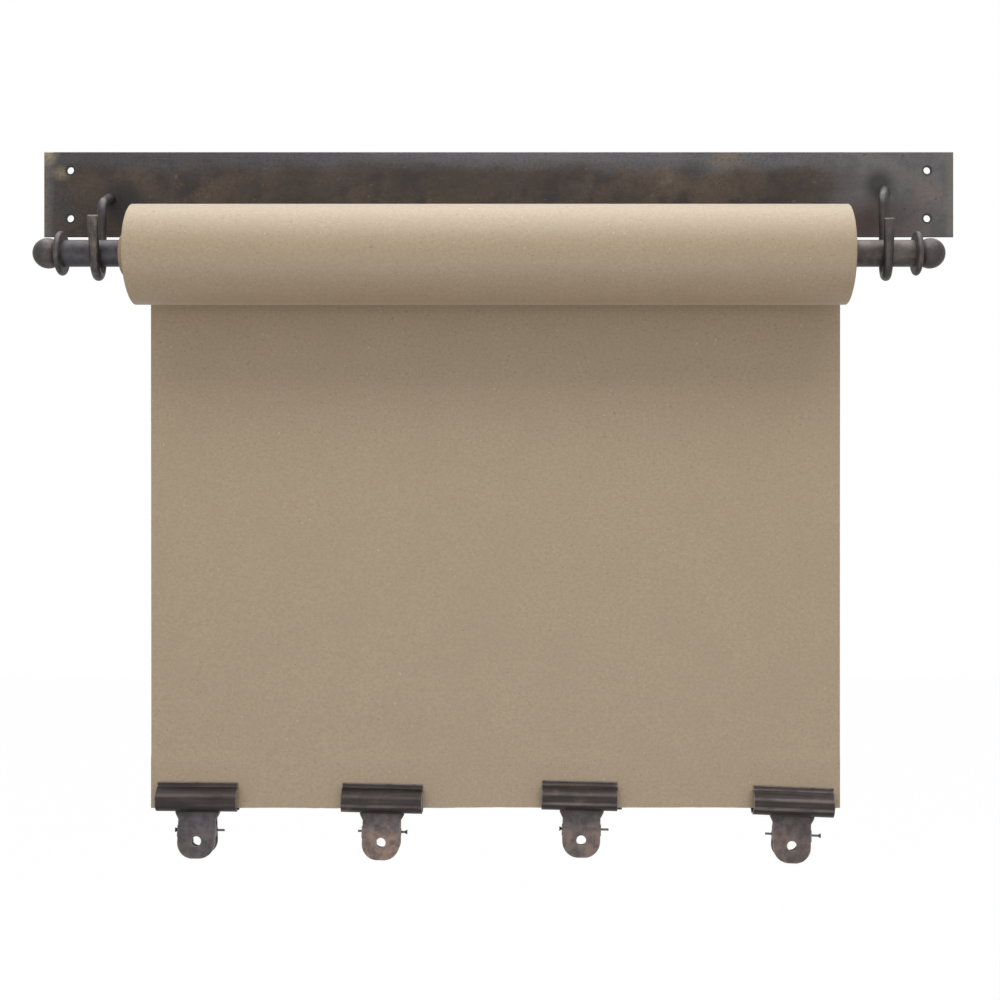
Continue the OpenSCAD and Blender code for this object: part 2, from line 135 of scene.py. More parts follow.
def srgb(*levels):
    """A colour from its red, green and blue as a screen shows them, from 0 to 255."""
    return tuple(v / 255 / 12.92 if v <= 10 else ((v / 255 + 0.055) / 1.055) ** 2.4 for v in levels) + (1,)


def lay(material, point, sockets):
    """The material's surface, from the sockets of its main shader."""
    shader = point.node("BsdfPrincipled", {}, sockets)
    point.node("OutputMaterial", {}, {"Surface": shader})
    return material


def dress(node, material):
    """Gives a CAD node its finish."""
    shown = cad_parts[node]
    shown.data.materials.clear()
    shown.data.materials.append(material)


plate_low, plate_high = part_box("wall_plate")
plate_end, plate_top = plate_high.x, plate_high.z
hole_x, hole_z, hole_r = 0.383, 0.0215, 0.0034
plate_iron, p = new_finish("plate_iron")
along, _, up = axes(p)
clouds = grain(p, 9, 4, 0.6, (1, 1, 1.6))
stains = grain(p, 34, 5, 0.62)
smear = grain(p, 26, 3, 0.5, (1, 1, 0.35))
fine = grain(p, 420, 4)
scratches = grain(p, 260, 2, 0.5, (0.12, 1, 1))


def round_spot(across, upward, reach):
    """1 at a place on the plate's face and 0 from reach on."""
    return 1 - rise(distance(across, upward) - 0.25 * reach * (stains - 0.5), 0, reach)


# The brown ground, a painted blue-grey sheen along the top, and the paler right end.
worn_brown = tint(rise(clouds, 0.38, 0.66), srgb(59, 50, 43), srgb(79, 66, 56))
mottled = tint(rise(stains, 0.46, 0.66) * 0.9, worn_brown, srgb(50, 44, 42))
streaked = tint(rise(scratches, 0.50, 0.75) * 0.25, mottled, srgb(82, 73, 68))
# Painted reflection: a blue-grey sheen along the plate's top, where it faces the light above.
top_sheen = rise(up + 0.026 * clouds + 0.014 * stains, 0.036, 0.054)
top_sheen_tone = tint(rise(along + 0.10 * clouds, -0.26, 0.02), srgb(68, 67, 70), srgb(91, 90, 93))
top_sheened = tint(top_sheen * 0.85, streaked, top_sheen_tone)
left_end = 1 - rise(along + 0.06 * clouds + 0.03 * smear, -0.356, -0.330)
blued = tint(left_end * 0.6, top_sheened, srgb(62, 61, 64))
right_end = rise(along + 0.05 * clouds, 0.300, 0.352)
right_tone = tint(rise(stains + 0.4 * smear, 0.58, 0.84), srgb(83, 81, 83), srgb(100, 97, 96))
paled = tint(right_end * 0.85, blued, right_tone)

# Rust under and beside the right hook, with dark pits about it.
rust_spot = round_spot(0.50 * (along - 0.338), up + 0.025, 0.030) * (0.55 + 0.45 * rise(smear, 0.40, 0.62))
rusty = tint(rust_spot * 0.95, paled, srgb(70, 54, 50))
pale_rust = round_spot(0.8 * (along - 0.384), up - 0.001, 0.018) * rise(stains, 0.36, 0.60)
rusty = tint(pale_rust * 0.6, rusty, srgb(110, 96, 91))
rusty = tint(right_end * rise(grain(p, 200, 2), 0.69, 0.74) * 0.6, rusty, srgb(52, 48, 48))

# Golden rubbed places right of the middle, and painted shade round the hooks' roots.
root_shade = 0.8 * round_spot(along - 0.340, up - 0.009, 0.021) + round_spot(along + 0.334, up + 0.008, 0.026)
gold_rub = (round_spot(0.7 * (along - 0.1495), up - 0.0145, 0.015)
            + round_spot(0.5 * (along - 0.206), up - 0.030, 0.013))
gilt = tint(gold_rub * rise(stains, 0.34, 0.60) * 0.75, rusty, srgb(116, 102, 82))
smoked = tint(round_spot(0.6 * (along - 0.172), up - 0.021, 0.014) * 0.7, gilt, srgb(50, 46, 45))
# Painted shade darkens the plate round the roots of both hooks.
root_shaded = tint(p.math("MINIMUM", root_shade * 1.3, 0.8), smoked, srgb(42, 39, 40))

# The rubbed ends, the brassy corner, painted shade in a ring round each screw hole, pits and specks.
rim = 1 - rise(p.math("MINIMUM", along + plate_end, plate_end - along), 0.001, 0.006 + 0.010 * stains)
rubbed_rim = tint(rim * 0.55, root_shaded, srgb(112, 107, 102))
brass_place = round_spot(along + plate_end, up - plate_top, 0.017)
brass_drip = round_spot(along + 0.392, 1.4 * (up - 0.019), 0.013)
brass = p.math("MINIMUM", brass_place * 1.6 + brass_drip * 0.5, 1) * rise(stains, 0.28, 0.58)
brassy = tint(brass * 0.85, rubbed_rim, srgb(160, 146, 118))
from_hole = distance(p.math("ABSOLUTE", along, 0) - hole_x, p.math("ABSOLUTE", up, 0) - hole_z)
# A painted dark ring of shade round each screw hole.
hole_shaded = tint(1 - rise(from_hole, hole_r, hole_r + 0.0024), brassy, srgb(44, 41, 41))
pits = rise(fine + 0.5 * scratches, 0.66, 0.98) * (0.32 - 0.18 * right_end)
pitted = tint(pits, hole_shaded, srgb(38, 34, 33))
speck = rise(grain(p, 150, 2), 0.71, 0.75)
plate_colour = tint(speck * 0.3, pitted, srgb(112, 102, 95))
filed = p.node("Bevel", {"samples": 4}, {"Radius": 0.0006})
plate_bump = p.node("Bump", {}, {"Strength": 0.35, "Distance": 0.0004, "Normal": filed,
                                 "Height": stains * 0.7 + fine * 0.35 + scratches * 0.6})
dress("wall_plate", lay(plate_iron, p, {
    "Base Color": plate_colour, "Metallic": 0.55, "Roughness": 0.40 + 0.22 * stains + 0.1 * fine,
    "Normal": plate_bump}))


# Hooks: two lengths of round iron bar, forged hot. A tenon at the root is peened behind the plate, the bar
# runs out and down, turns up round the rod, and its front end is hammered flat and cut off. Their finish is
# the plate's, rubbed brighter along the edges of the hammered leg.

def skin(name, points, faces, crease):
    """An object of points and faces, smooth but for the edges that are sharper than the crease."""
    mesh = bpy.data.meshes.new(name)
    mesh.from_pydata(points, [], faces)
    mesh.validate()
    mesh.shade_smooth()
    mesh.set_sharp_from_angle(angle=math.radians(crease))
    made = bpy.data.objects.new(name, mesh)
    bpy.context.scene.collection.objects.link(made)
    return made


def loft(name, rings, joined=False):
    """A closed skin over rings of equal counts: capped, or with the last ring joined to the first."""
    count, last = len(rings[0]), len(rings[0]) * (len(rings) - 1)
    starts = list(range(0, last + 1, count)) + ([0] if joined else [])
    faces = [(a + j, a + (j + 1) % count, b + (j + 1) % count, b + j)
             for a, b in zip(starts, starts[1:]) for j in range(count)]
    if not joined:
        faces += [tuple(range(count - 1, -1, -1)), tuple(range(last, last + count))]
    return skin(name, [point for ring in rings for point in ring], faces, crease=38)


def circle(count):
    """Cosine and sine at even steps round a circle."""
    return [(math.cos(2 * math.pi * j / count), math.sin(2 * math.pi * j / count)) for j in range(count)]


def clamp(share):
    """A share, held between 0 and 1."""
    return max(0.0, min(1.0, share))


def ease(share):
    """0 below 0, 1 above 1 and smooth between."""
    share = clamp(share)
    return share * share * (3 - 2 * share)


def waver(at):
    """Smooth noise from 0 to 1 at a place."""
    return 0.5 + 0.5 * noise.noise(Vector(at))


def edge_facing(softened):
    """How far a softened normal agrees with the true one: 1 on flats and less along edges."""
    true = softened.node("NewGeometry", out="Normal")
    return softened.node("VectorMath", {"operation": "DOT_PRODUCT"}, {"Vector": softened, "Vector_001": true},
                         "Value")


hook_iron, p = new_finish("hook_iron")
clouds = grain(p, 70, 4, 0.6)
fine = grain(p, 900, 4)
streaks = grain(p, 620, 3, 0.55, (1, 1, 0.08))
hammered = p.node("TexVoronoi", {"feature": "SMOOTH_F1"},
                  {"Vector": p, "Scale": 190, "Smoothness": 0.7}, "Distance")
along, out_front, _ = axes(p)
bronze = tint(rise(along, -0.1, 0.1), srgb(106, 97, 86), srgb(80, 74, 70))
beaten = p.node("Bevel", {"samples": 6}, {"Radius": 0.0009})
bright_edge = (1 - rise(edge_facing(beaten), 0.86, 0.99)) * (1 - rise(out_front, -0.080, -0.070))
rubbed = rise(clouds + 0.6 * streaks + 0.12 * (1 - rise(out_front, -0.078, -0.066)), 0.80, 1.10)
hook_colour = tint(rubbed * 0.85, srgb(62, 58, 59), bronze)
hook_colour = tint(rise(fine, 0.62, 0.78) * 0.5, hook_colour, srgb(48, 43, 42))
hook_colour = tint(bright_edge * 0.8, hook_colour, srgb(134, 124, 114))
hook_bump = p.node("Bump", {}, {"Strength": 0.5, "Distance": 0.0005, "Normal": beaten,
                                "Height": hammered * 0.9 + fine * 0.2})
lay(hook_iron, p, {"Base Color": hook_colour, "Metallic": 0.6, "Roughness": 0.36 + 0.25 * clouds,
                   "Normal": hook_bump})

rod_y, plate_t = -0.060, 0.003
bar_d, tip_w, tip_t, tip_worn, bar_sides, leg_steps = 0.0086, 0.0094, 0.0042, 0.0007, 36, 18
tenon_r, tenon_end = 0.003, -0.00005
root_run, root_bend, shank_slope, top_bend, flare = 0.005, 0.014, 18, 0.012, 15
throat_y, throat_z, turn_r = -0.0595, -0.0648, 0.0155
hooks_mid, hook_out, hook_lean = -0.004, 0.3378, 5
dent_depth, dent_waves, pit_depth, pit_waves, squareness = 0.030, 210, 0.012, 520, 1.4
sine, cosine = math.sin(math.radians(shank_slope)), math.cos(math.radians(shank_slope))
shank = (-plate_t - throat_y - turn_r - root_run - root_bend * sine - top_bend * (1 - sine)) / cosine
shank_drop = root_bend * (1 - cosine) + shank * sine + top_bend * cosine


def hook_x(way, y, arm_lean):
    """Place of a hook along the plate: both lean inwards to their tips, the right one's upper arm more."""
    arm = max(0.0, y - throat_y - turn_r) * math.tan(math.radians(arm_lean))
    return hooks_mid + way * (hook_out + (y - rod_y) * math.tan(math.radians(hook_lean)) + arm)


def bar_path(root_z, tip_l):
    """Stations down the middle of a hook's bar, each its y, z and heading in degrees."""
    stations = [(-plate_t, root_z, -90.0)]
    for length, angle, steps in (
            (root_run, 0, 2), (root_bend, shank_slope, 5), (shank, 0, 11), (top_bend, 90 - shank_slope, 18),
            (root_z - shank_drop - throat_z, 0, 20), (turn_r, flare - 180, 40),
            (tip_l - tip_worn, 0, leg_steps - 1), (tip_worn, 0, 1)):
        y, z, heading = stations[-1]
        was = math.radians(heading)
        for k in range(1, steps + 1):
            now = math.radians(heading + angle * k / steps)
            if angle:
                bend = math.copysign(length, angle)
                at_y = y + bend * (math.cos(was) - math.cos(now))
                at_z = z + bend * (math.sin(was) - math.sin(now))
            else:
                at_y = y + length * k / steps * math.sin(was)
                at_z = z - length * k / steps * math.cos(was)
            stations.append((at_y, at_z, heading + angle * k / steps))
    return stations


for side, way, root_z, tip_l, arm_lean in (("left", -1, -0.0045, 0.038, 0),
                                           ("right", 1, 0.0025, 0.0355, 9.5)):
    root_x = hook_x(way, -plate_t, arm_lean)
    rings = [[(root_x + tenon_r * c, y, root_z - tenon_r * s) for c, s in circle(bar_sides)]
             for y in (tenon_end, -plate_t)]
    stations = bar_path(root_z, tip_l)
    for i, (y, z, heading) in enumerate(stations):
        flat = ease((i - (len(stations) - 1 - leg_steps)) / leg_steps)
        worn = 2 * tip_worn if i == len(stations) - 1 else 0
        wide, thick = bar_d + (tip_w - bar_d) * flat - worn, bar_d + (tip_t - bar_d) * flat - worn
        power = 2 / (2 + squareness * flat)
        slope = math.radians(heading)
        ring = []
        for c, s in circle(bar_sides):
            x = wide / 2 * math.copysign(abs(c) ** power, c)
            out = thick / 2 * math.copysign(abs(s) ** power, s)
            at = Vector((way + x, y - out * math.cos(slope), z - out * math.sin(slope)))
            dent = 1 - dent_depth * waver(at * dent_waves) - pit_depth * abs(noise.noise(at * pit_waves))
            at_y = y - out * dent * math.cos(slope)
            ring.append((hook_x(way, at_y, arm_lean) + x * dent, at_y, z - out * dent * math.sin(slope)))
        rings.append(ring)
    hook = loft("forged_hook_" + side, rings)
    hook.data.materials.append(hook_iron)
    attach(hook, "wall")
    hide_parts("hook_" + side)


# Rod: a length of drawn iron tube that lies in the hooks and can be lifted out to change the paper.
# A tapped plug is pressed into each end. The tube is satin, with streaks along its drawing direction.

rod_iron, p = new_finish("rod_iron")
streaks = grain(p, 420, 3, 0.5, (0.03, 1, 1))
clouds = grain(p, 40, 4, 0.6)
spots = grain(p, 150, 4, 0.6)
browner = rise(axes(p)[0], -0.2, 0.2)
rod_colour = tint(rise(clouds + 0.5 * spots, 0.62, 0.94), tint(browner, srgb(53, 50, 54), srgb(59, 54, 51)),
                  tint(browner, srgb(72, 69, 73), srgb(88, 81, 76)))
rod_bump = p.node("Bump", {}, {"Strength": 0.25, "Distance": 0.0002, "Height": streaks + clouds * 0.6})
dress("rod", lay(rod_iron, p, {
    "Base Color": rod_colour, "Metallic": 0.65, "Roughness": 0.38 + 0.2 * clouds + 0.08 * streaks,
    "Normal": rod_bump}))

plug_steel, p = new_finish("plug_steel")
turned = grain(p, 1500, 2, 0.5, (1, 0.02, 0.02))
plug_bump = p.node("Bump", {}, {"Strength": 0.3, "Distance": 0.0001, "Height": turned})
lay(plug_steel, p, {"Base Color": tint(turned, srgb(128, 126, 124), srgb(168, 166, 162)), "Metallic": 1.0,
                    "Roughness": 0.3 + 0.15 * turned, "Normal": plug_bump})
for side in ("left", "right"):
    dress("rod_plug_" + side, plug_steel)


# Rod ends: a ring with a rounded rim, and a turned iron ball on a threaded stud that holds the ring to the
# tube. The ball screws into the plug with an 8 mm thread of 1.25 mm pitch. Both have a dark finish like
# the rod's.

end_iron, p = new_finish("end_iron")
clouds = grain(p, 90, 4, 0.62)
fine = grain(p, 1100, 3)
end_colour = tint(rise(clouds, 0.44, 0.70), srgb(68, 63, 62), srgb(95, 88, 85))
end_bump = p.node("Bump", {}, {"Strength": 0.3, "Distance": 0.0003, "Height": clouds + fine * 0.3})
lay(end_iron, p, {"Base Color": end_colour, "Metallic": 0.6, "Roughness": 0.46 + 0.22 * clouds,
                  "Normal": end_bump})

rod_z = -0.061
collar_t, stud_r, stud_l, stud_bevel = 0.005, 0.00395, 0.020, 0.0009
pitch, steps_per_pitch, thread_depth = 0.00125, 10, 0.00055
thread_start, thread_end = -stud_l + stud_bevel, -0.0008
neck_r, neck_l, neck_bevel, neck_fillet = 0.009, 0.0013, 0.0004, 0.0012
ball_r, ball_out, ball_steps, pole_r, end_sides = 0.013, 0.009, 30, 0.00002, 48
ball_x, thread_l = collar_t + ball_out, thread_end - thread_start
thread_steps = round(thread_l / pitch * steps_per_pitch)
ball_open = math.acos(-math.sqrt(1 - ((neck_r + neck_fillet) / ball_r) ** 2))
profile = [(-stud_l, stud_r - stud_bevel), (thread_start, stud_r)]
profile += [(thread_start + thread_l * k / thread_steps, stud_r) for k in range(1, thread_steps + 1)]
profile += [(collar_t, stud_r), (collar_t, neck_r - neck_bevel), (collar_t + neck_bevel, neck_r),
            (collar_t + neck_l, neck_r)]
profile += [(ball_x + ball_r * math.cos(ball_open * (1 - k / ball_steps)),
             ball_r * math.sin(ball_open * (1 - k / ball_steps))) for k in range(ball_steps)]
profile += [(ball_x + ball_r, pole_r)]
for side, way, rod_end in (("left", -1, -0.3705), ("right", 1, 0.3575)):
    dress("collar_" + side, end_iron)
    rings = []
    for x, r in profile:
        threaded = thread_start < x < thread_end + 1e-6
        ring = []
        for j, (c, s) in enumerate(circle(end_sides)):
            cut = abs((x / pitch - j / end_sides) % 1 - 0.5) * 2 if threaded else 0
            cut_r = r - thread_depth * cut
            ring.append((rod_end + way * x, rod_y + way * cut_r * c, rod_z + cut_r * s))
        rings.append(ring)
    ball = loft("ball_finial_" + side, rings)
    ball.data.materials.append(end_iron)
    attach(ball, "finial_" + side)
    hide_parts("finial_" + side)


# Core tube: grey-brown board wound in a spiral and glued, on which the paper was rolled. It has slipped out
# of the roll at the left, and turns loosely on the rod.

roll_z, seam_pitch, ply_t = -0.0621, 0.075, 0.0006
core_card, p = new_finish("core_card")
along, out_back, up = axes(p)
across, above = out_back - rod_y, up - roll_z
seam_turn = p.math("ARCTAN2", above, across) / (2 * math.pi) + along / seam_pitch
seam = 1 - rise(p.math("ABSOLUTE", p.math("FRACT", seam_turn, 0) - 0.5, 0), 0.004, 0.016)
plies = p.math("FRACT", distance(across, above) / ply_t, 0)
fibres = grain(p, 700, 4, 0.6)
pale_board = tint(fibres, srgb(150, 130, 106), srgb(182, 162, 136))
board = tint(seam * 0.6, pale_board, srgb(108, 90, 70))
core_bump = p.node("Bump", {}, {"Strength": 0.5, "Distance": 0.0003,
                                "Height": fibres * 0.5 - seam + plies * 0.3})
lay(core_card, p, {"Base Color": board, "Roughness": 0.85 + 0.1 * fibres, "Normal": core_bump})

core_in, core_out, core_left, core_right, core_sides = 0.0127, 0.0175, -0.3205, 0.2895, 72
core_soft = 0.0007
core_nip = core_soft * 0.3
core_profile = [(core_left, core_in + core_soft), (core_left, core_out - core_soft),
                (core_left + core_nip, core_out - core_nip), (core_left + core_soft, core_out),
                (core_right - core_soft, core_out), (core_right - core_nip, core_out - core_nip),
                (core_right, core_out - core_soft), (core_right, core_in + core_soft),
                (core_right - core_soft, core_in), (core_left + core_soft, core_in)]
core = loft("spiral_core", [[(x, rod_y + r * c, roll_z - r * s) for c, s in circle(core_sides)]
                            for x, r in core_profile], joined=True)
core.data.materials.append(core_card)
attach(core, "roll")
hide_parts("core_tube")


# Paper roll: brown kraft paper wound 85 times round the core. The turns wander a little sideways, so the
# ends show fine steps, and the outermost turns are drawn in at the edges. The paper is unbleached, with
# dark and pale fibres.

kraft, p = new_finish("kraft_paper")
pulp = grain(p, 1000, 3, 0.6)
flock = grain(p, 420, 3, 0.6, (0.8, 1, 1))
clouds = grain(p, 22, 4, 0.55)
dark_fleck = rise(grain(p, 560, 2, 0.4, (0.6, 1, 1)), 0.68, 0.74)
pale_fleck = rise(grain(p, 430, 1, 0.4, (1, 1, 0.7)), 0.765, 0.795)
brown = tint(rise(flock, 0.25, 0.75), srgb(156, 134, 105), srgb(172, 150, 120))
brown = tint(rise(clouds, 0.35, 0.65) * 0.35, brown, srgb(158, 136, 107))
brown = tint(rise(pulp, 0.36, 0.70) * 0.36, brown, srgb(184, 165, 139))
brown = tint(dark_fleck * 0.5, brown, srgb(112, 94, 74))
brown = tint(pale_fleck * 0.6, brown, srgb(214, 200, 181))
kraft_bump = p.node("Bump", {}, {"Strength": 0.4, "Distance": 0.00012, "Height": pulp * 0.5 + flock * 0.7})
lay(kraft, p, {"Base Color": brown, "Roughness": 0.55 + 0.12 * pulp, "Specular IOR Level": 0.9,
               "Sheen Weight": 0.35, "Sheen Roughness": 0.35, "Normal": kraft_bump})

roll_in, roll_out, roll_turns, roll_sides = 0.01755, 0.043, 85, 96
roll_left, roll_right = -0.3125, 0.3025
paper_t = (roll_out - roll_in) / (roll_turns + 1)
loose_r, wander_depth, jitter_depth = 0.0365, 0.0012, 0.0007
left_pull, left_seed, right_pull, right_seed = 0.0018, 1.3, 0.0022, 8.1
sheet_wrap = math.radians(35)
last_column = roll_turns * roll_sides
points, faces = [], []


def wound_edge(turn, seed, pull):
    """How far the paper's edge lies in from the roll's end, at a turn of the winding."""
    radius = roll_in + paper_t * turn
    drawn_in = max(0.0, (radius - loose_r) / (roll_out - loose_r)) ** 2 * pull
    wander = wander_depth * waver((turn * 0.13, seed, 0))
    jitter = jitter_depth * waver((turn * 0.9, seed, 3.7))
    return drawn_in + wander + jitter


def wound_row(column, outer):
    """The vertices of one spoke of the winding at the left end and at the right end."""
    turn = column / roll_sides
    angle = -2 * math.pi * turn + sheet_wrap
    r = roll_in + paper_t * (turn + (1 if outer else 0))
    y, z = rod_y + r * math.cos(angle), roll_z + r * math.sin(angle)
    points.extend([(roll_left + wound_edge(turn, left_seed, left_pull), y, z),
                   (roll_right - wound_edge(turn, right_seed, right_pull), y, z)])
    return len(points) - 2, len(points) - 1


inner_rows = [wound_row(i, False) for i in range(last_column + 1)]
outer_rows = [wound_row(i, True) for i in range(last_column + 1)]
for i in range(last_column):
    (a, b), (c, d), (e, f), (g, h) = inner_rows[i], inner_rows[i + 1], outer_rows[i], outer_rows[i + 1]
    faces += [(a, c, g, e), (b, f, h, d)]
    if i + roll_sides < last_column:
        (k, m), (n, o) = inner_rows[i + roll_sides], inner_rows[i + roll_sides + 1]
        faces += [(e, g, n, k), (f, m, o, h)]
    else:
        faces.append((e, g, h, f))
    if i < roll_sides:
        faces.append((a, b, d, c))
first, first_top, second = inner_rows[0], outer_rows[0], inner_rows[roll_sides]
faces.append((first[0], first_top[0], second[0], second[1], first_top[1], first[1]))
end, end_top, under = inner_rows[last_column], outer_rows[last_column], outer_rows[last_column - roll_sides]
faces.append((end_top[0], end_top[1], end[1], under[1], under[0], end[0]))
roll = skin("wound_roll", points, faces, crease=40)
roll.data.materials.append(kraft)
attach(roll, "roll")
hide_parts("paper_roll")


# Hanging sheet: the roll's free end, which leaves the back of the roll and hangs straight down. Its lower
# edge was torn off against a ruler, so it wanders a little, and the paper bellies slightly between the clips
# that weigh it down.

sheet_left, sheet_right, sheet_y, sheet_low, sheet_t = -0.3074, 0.3026, -0.01675, -0.5461, 0.0003
sheet_turn_r, sheet_end_share, sheet_end_rows, grip_z = 0.04325, 0.15, 4, -0.519
# Each clip's place: the x and z of its pin, and its tilt in degrees.
clip_places = ((-0.266, -0.565, 0.5), (-0.1032, -0.5664, 1.4), (0.0735, -0.5642, 1.3), (0.2594, -0.5692, 2.4))
across_count, down_count, wrap_count = 122, 110, 14
belly_depth, belly_from, belly_full = 0.0016, 0.03, 0.16
jaw_half, jaw_free, jaw_top, jaw_clear, jaw_fade = 0.037, 0.03, -0.50, -0.515, 0.10
tear_depth, nick_depth = 0.0011, 0.0002


def belly(x, z):
    """How far the paper swings out of its plane, towards the wall."""
    hang = clamp((roll_z - belly_from - z) / belly_full)
    nearest = min(abs(x - pin_x) for pin_x, _, _ in clip_places)
    held = clamp((nearest - jaw_half) / jaw_free) if z < jaw_top else 1.0
    free = held + (1 - held) * ease((z - jaw_clear) / jaw_fade)
    return belly_depth * hang * hang * free * waver((x * 7.0, z * 3.0, 2.0))


def lower_edge(x):
    """How far the torn edge lies above the sheet's lowest point."""
    return tear_depth * waver((x * 16, 5.5, 0)) + nick_depth * noise.noise(Vector((x * 140, 1.5, 0)))


fronts, backs = [], []
for row in range(wrap_count + down_count + 1):
    for column in range(across_count + 1):
        x = sheet_left + (sheet_right - sheet_left) * column / across_count
        if row < wrap_count:
            angle = sheet_wrap * (1 - row / wrap_count)
            thick = sheet_t * (sheet_end_share + (1 - sheet_end_share) * min(1, row / sheet_end_rows))
            inside = sheet_turn_r - sheet_t / 2
            outside = inside + thick
            fronts.append((x, rod_y + inside * math.cos(angle), roll_z + inside * math.sin(angle)))
            backs.append((x, rod_y + outside * math.cos(angle), roll_z + outside * math.sin(angle)))
        else:
            share = (row - wrap_count) / down_count
            z = roll_z + (sheet_low + lower_edge(x) - roll_z) * share
            y = sheet_y + belly(x, z)
            fronts.append((x, y - sheet_t / 2, z))
            backs.append((x, y + sheet_t / 2, z))
wide, behind = across_count + 1, len(fronts)
last = behind - wide
faces = []
for left in range(0, last, wide):
    for a in range(left, left + across_count):
        b, d, e = a + 1, a + wide + 1, a + wide
        faces += [(a, e, d, b), (behind + a, behind + b, behind + d, behind + e)]
    right = left + across_count
    faces += [(left, behind + left, behind + left + wide, left + wide),
              (right, right + wide, behind + right + wide, behind + right)]
for c in range(across_count):
    d = last + c
    faces += [(c, c + 1, behind + c + 1, behind + c), (d, behind + d, behind + d + 1, d + 1)]
sheet = skin("note_sheet", fronts + backs, faces, crease=50)
sheet.data.materials.append(kraft)
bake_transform(sheet)
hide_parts("hanging_sheet")


# Clips: four sprung letter clips, each of two pressed halves of 1 mm sheet steel that turn on a nail through
# their nested ears. Each half is one bent blank: lip, bulge, neck and tab with a hole. They are bronzed,
# with coppery rubbed places.

# Each clip's wear and painted light: its share of copper, its tab's tone, and how strong the light line on
# each ridge of its jaws is, from the lip.
clip_wear_and_highlights = ((0.12, srgb(82, 78, 82), (0.10, 0.42, 0.20, 0.1)),
             (0.85, srgb(92, 85, 85), (0.06, 0.26, 0.70, 0.2)),
             (0.45, srgb(90, 83, 82), (0.35, 0.40, 1.00, 0.4)),
             (0.35, srgb(84, 76, 76), (0.65, 0.72, 1.00, 0.6)))
ridge_heights, ridge_half = (0.0386, 0.0322, 0.0240, 0.0174), 0.0024
for n, ((x, pin_z, tilt), (copper, tab_tone, ridge_light_shares)) in enumerate(zip(clip_places, clip_wear_and_highlights), 1):
    clip_steel, p = new_finish(f"clip_steel_{n}")
    shifted = p.node("VectorMath", {"operation": "ADD"},
                     {"Vector": p, "Vector_001": (n * 0.37, n * 0.11, 0)}, "Vector")
    clouds = grain(shifted, 48, 4, 0.62)
    stains = grain(shifted, 130, 4, 0.6)
    fine = grain(shifted, 900, 3)
    rolled = grain(shifted, 260, 3, 0.55, (0.10, 1, 1))
    pressed = p.node("Bevel", {"samples": 6}, {"Radius": 0.0008})
    edge = 1 - rise(edge_facing(p.node("Bevel", {"samples": 8}, {"Radius": 0.0018})), 0.78, 0.97)
    along, _, up = axes(p)
    above_pin = up - pin_z + math.tan(math.radians(tilt)) * (along - x)
    tab = 1 - rise(above_pin, 0.010, 0.019)
    # Light lines along the jaws' bends: partly bared metal on the ridges, partly a painted highlight where
    # the bends catch the light.
    ridge = 0
    for at, share in zip(ridge_heights, ridge_light_shares):
        climb, fall = rise(above_pin, at - ridge_half, at), rise(above_pin, at, at + ridge_half)
        ridge = ridge + share * climb * (1 - fall)
    ridge = ridge * (0.35 + 0.65 * rise(0.7 * rolled + 0.5 * clouds, 0.44, 0.72))
    coppery = rise(clouds + 0.25 * (1 - rise(above_pin, -0.006, 0.012)), 0.56, 0.84)
    coppery = coppery * (0.30 + 0.70 * rise(stains, 0.36, 0.66))
    clip_colour = tint(rise(0.6 * rolled + 0.4 * stains, 0.36, 0.66), srgb(36, 31, 30), srgb(53, 46, 45))
    clip_colour = tint(ridge, clip_colour, srgb(118, 106, 102))
    clip_colour = tint(tab * (0.35 + 0.65 * rise(stains, 0.34, 0.66)), clip_colour, tab_tone)
    clip_colour = tint(coppery * copper, clip_colour, srgb(136, 112, 96))
    # Light along the clips' edges: partly rubbed wear, partly a painted highlight.
    clip_colour = tint(edge * rise(stains, 0.30, 0.52) * 0.9, clip_colour, srgb(146, 138, 130))
    clip_bump = p.node("Bump", {}, {"Strength": 0.25, "Distance": 0.0002, "Normal": pressed,
                                    "Height": stains * 0.5 + rolled * 0.6 + fine * 0.3})
    lay(clip_steel, p, {"Base Color": clip_colour, "Metallic": 0.6, "Roughness": 0.40 + 0.24 * stains,
                        "Normal": clip_bump})
    for half in ("front", "rear"):
        dress(f"clip_{n}_{half}_jaw", clip_steel)


# Clip pins and springs: a nail with its head left on is the hinge of each clip, and a torsion spring of
# hard-drawn wire is wound round it, with one leg behind each tab.

pin_steel, p = new_finish("pin_steel")
drawn = grain(p, 1600, 3, 0.5, (0.05, 1, 1))
pin_bump = p.node("Bump", {}, {"Strength": 0.2, "Distance": 0.0001, "Height": drawn})
lay(pin_steel, p, {"Base Color": tint(drawn, srgb(70, 66, 66), srgb(104, 98, 96)), "Metallic": 0.8,
                   "Roughness": 0.36 + 0.2 * drawn, "Normal": pin_bump})
spring_steel, p = new_finish("spring_steel")
drawn = grain(p, 1400, 3, 0.5)
spring_bump = p.node("Bump", {}, {"Strength": 0.2, "Distance": 0.0001, "Height": drawn})
lay(spring_steel, p, {"Base Color": tint(drawn, srgb(96, 94, 94), srgb(138, 134, 132)), "Metallic": 0.9,
                      "Roughness": 0.3 + 0.2 * drawn, "Normal": spring_bump})

